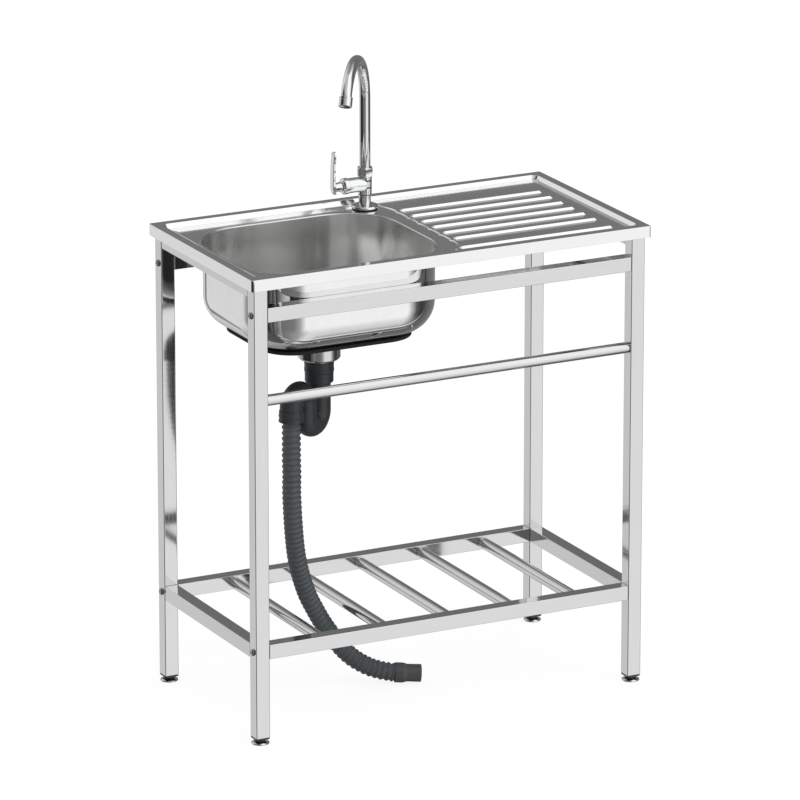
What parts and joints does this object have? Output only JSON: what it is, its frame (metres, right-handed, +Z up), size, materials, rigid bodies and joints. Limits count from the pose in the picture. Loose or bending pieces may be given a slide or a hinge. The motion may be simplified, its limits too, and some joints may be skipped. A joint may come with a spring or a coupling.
{
  "type": "free-standing kitchen sink unit",
  "caption": "Free-standing sink unit: a pressed steel top with a bowl and ribbed drainboard on a square-tube frame, with swivel-spout tap, towel bar, slatted shelf and drain hose.",
  "frame": {"origin": "on the floor, under the middle of the rectangular top", "axes": "+X along the length, from the bowl's end to the drainboard's end; +Y from the front to the back; +Z up"},
  "size_m": [0.75, 0.4, 1.0939],
  "materials": {
    "brushed_steel": "satin",
    "bowl_steel": "polished",
    "tube_steel": "polished",
    "chrome": "polished",
    "zinc_steel": "satin",
    "brass": "satin",
    "rubber": "matte",
    "pad_rubber": "matte",
    "black_plastic": "satin",
    "hose_plastic": "satin",
    "cartridge_plastic": "satin"
  },
  "bodies": {
    "sink_unit": {"sink_top": "brushed_steel", "sink_bowl": "bowl_steel", "sound_pad": "pad_rubber", "leg_front_left": "tube_steel", "leg_back_left": "tube_steel", "leg_front_right": "tube_steel", "leg_back_right": "tube_steel", "leg_plug_front_left": "black_plastic", "leg_plug_back_left": "black_plastic", "leg_plug_front_right": "black_plastic", "leg_plug_back_right": "black_plastic", "bolt_top_front_left": "zinc_steel", "bolt_top_back_left": "zinc_steel", "bolt_top_front_right": "zinc_steel", "bolt_top_back_right": "zinc_steel", "bolt_shelf_front_left": "zinc_steel", "bolt_shelf_back_left": "zinc_steel", "bolt_shelf_front_right": "zinc_steel", "bolt_shelf_back_right": "zinc_steel", "side_rail_top_left": "tube_steel", "side_rail_top_right": "tube_steel", "side_rail_shelf_left": "tube_steel", "side_rail_shelf_right": "tube_steel", "cross_rail_top_front": "tube_steel", "cross_rail_top_back": "tube_steel", "cross_rail_shelf_front": "tube_steel", "cross_rail_shelf_back": "tube_steel", "shelf_slat_1": "tube_steel", "shelf_slat_2": "tube_steel", "shelf_slat_3": "tube_steel", "shelf_slat_4": "tube_steel", "shelf_slat_5": "tube_steel", "towel_bar": "chrome", "tap_body": "chrome", "tap_gasket": "rubber", "tap_flange": "chrome", "tap_washer": "rubber", "tap_deck_nut": "brass", "valve_cartridge": "cartridge_plastic", "bonnet_ring": "chrome", "swivel_nut": "chrome", "strainer_body": "zinc_steel", "strainer_gasket": "rubber", "strainer_locknut": "black_plastic", "tail_coupling": "black_plastic", "trap_collar": "black_plastic", "trap_pipe": "black_plastic", "hose_connector": "black_plastic", "drain_hose": "hose_plastic", "hose_cuff": "hose_plastic"},
    "tap_spout": {"spout": "chrome", "aerator": "chrome"},
    "tap_handle": {"tap_lever": "chrome", "valve_spindle": "brass"},
    "foot_front_left": {"levelling_foot_front_left": "chrome"},
    "foot_back_left": {"levelling_foot_back_left": "chrome"},
    "foot_front_right": {"levelling_foot_front_right": "chrome"},
    "foot_back_right": {"levelling_foot_back_right": "chrome"},
    "basket": {"strainer_basket": "zinc_steel"}
  },
  "joints": [
    {"name": "spout_swivel", "type": "hinge", "parent": "sink_unit", "child": "tap_spout", "pos_m": [0.01, 0.151, 0.87], "axis": [0, 0, 1], "continuous": true},
    {"name": "lever_turn", "type": "hinge", "parent": "sink_unit", "child": "tap_handle", "pos_m": [-0.03, 0.151, 0.8492], "axis": [1, 0, 0], "range_deg": [0, 90]},
    {"name": "foot_screw_front_left", "type": "slide", "parent": "sink_unit", "child": "foot_front_left", "axis": [0, 0, -1], "range_m": [0, 0.012]},
    {"name": "foot_screw_back_left", "type": "slide", "parent": "sink_unit", "child": "foot_back_left", "axis": [0, 0, -1], "range_m": [0, 0.012]},
    {"name": "foot_screw_front_right", "type": "slide", "parent": "sink_unit", "child": "foot_front_right", "axis": [0, 0, -1], "range_m": [0, 0.012]},
    {"name": "foot_screw_back_right", "type": "slide", "parent": "sink_unit", "child": "foot_back_right", "axis": [0, 0, -1], "range_m": [0, 0.012]},
    {"name": "basket_lift", "type": "slide", "parent": "sink_unit", "child": "basket", "axis": [0, 0, 1], "range_m": [0, 0.08]}
  ]
}
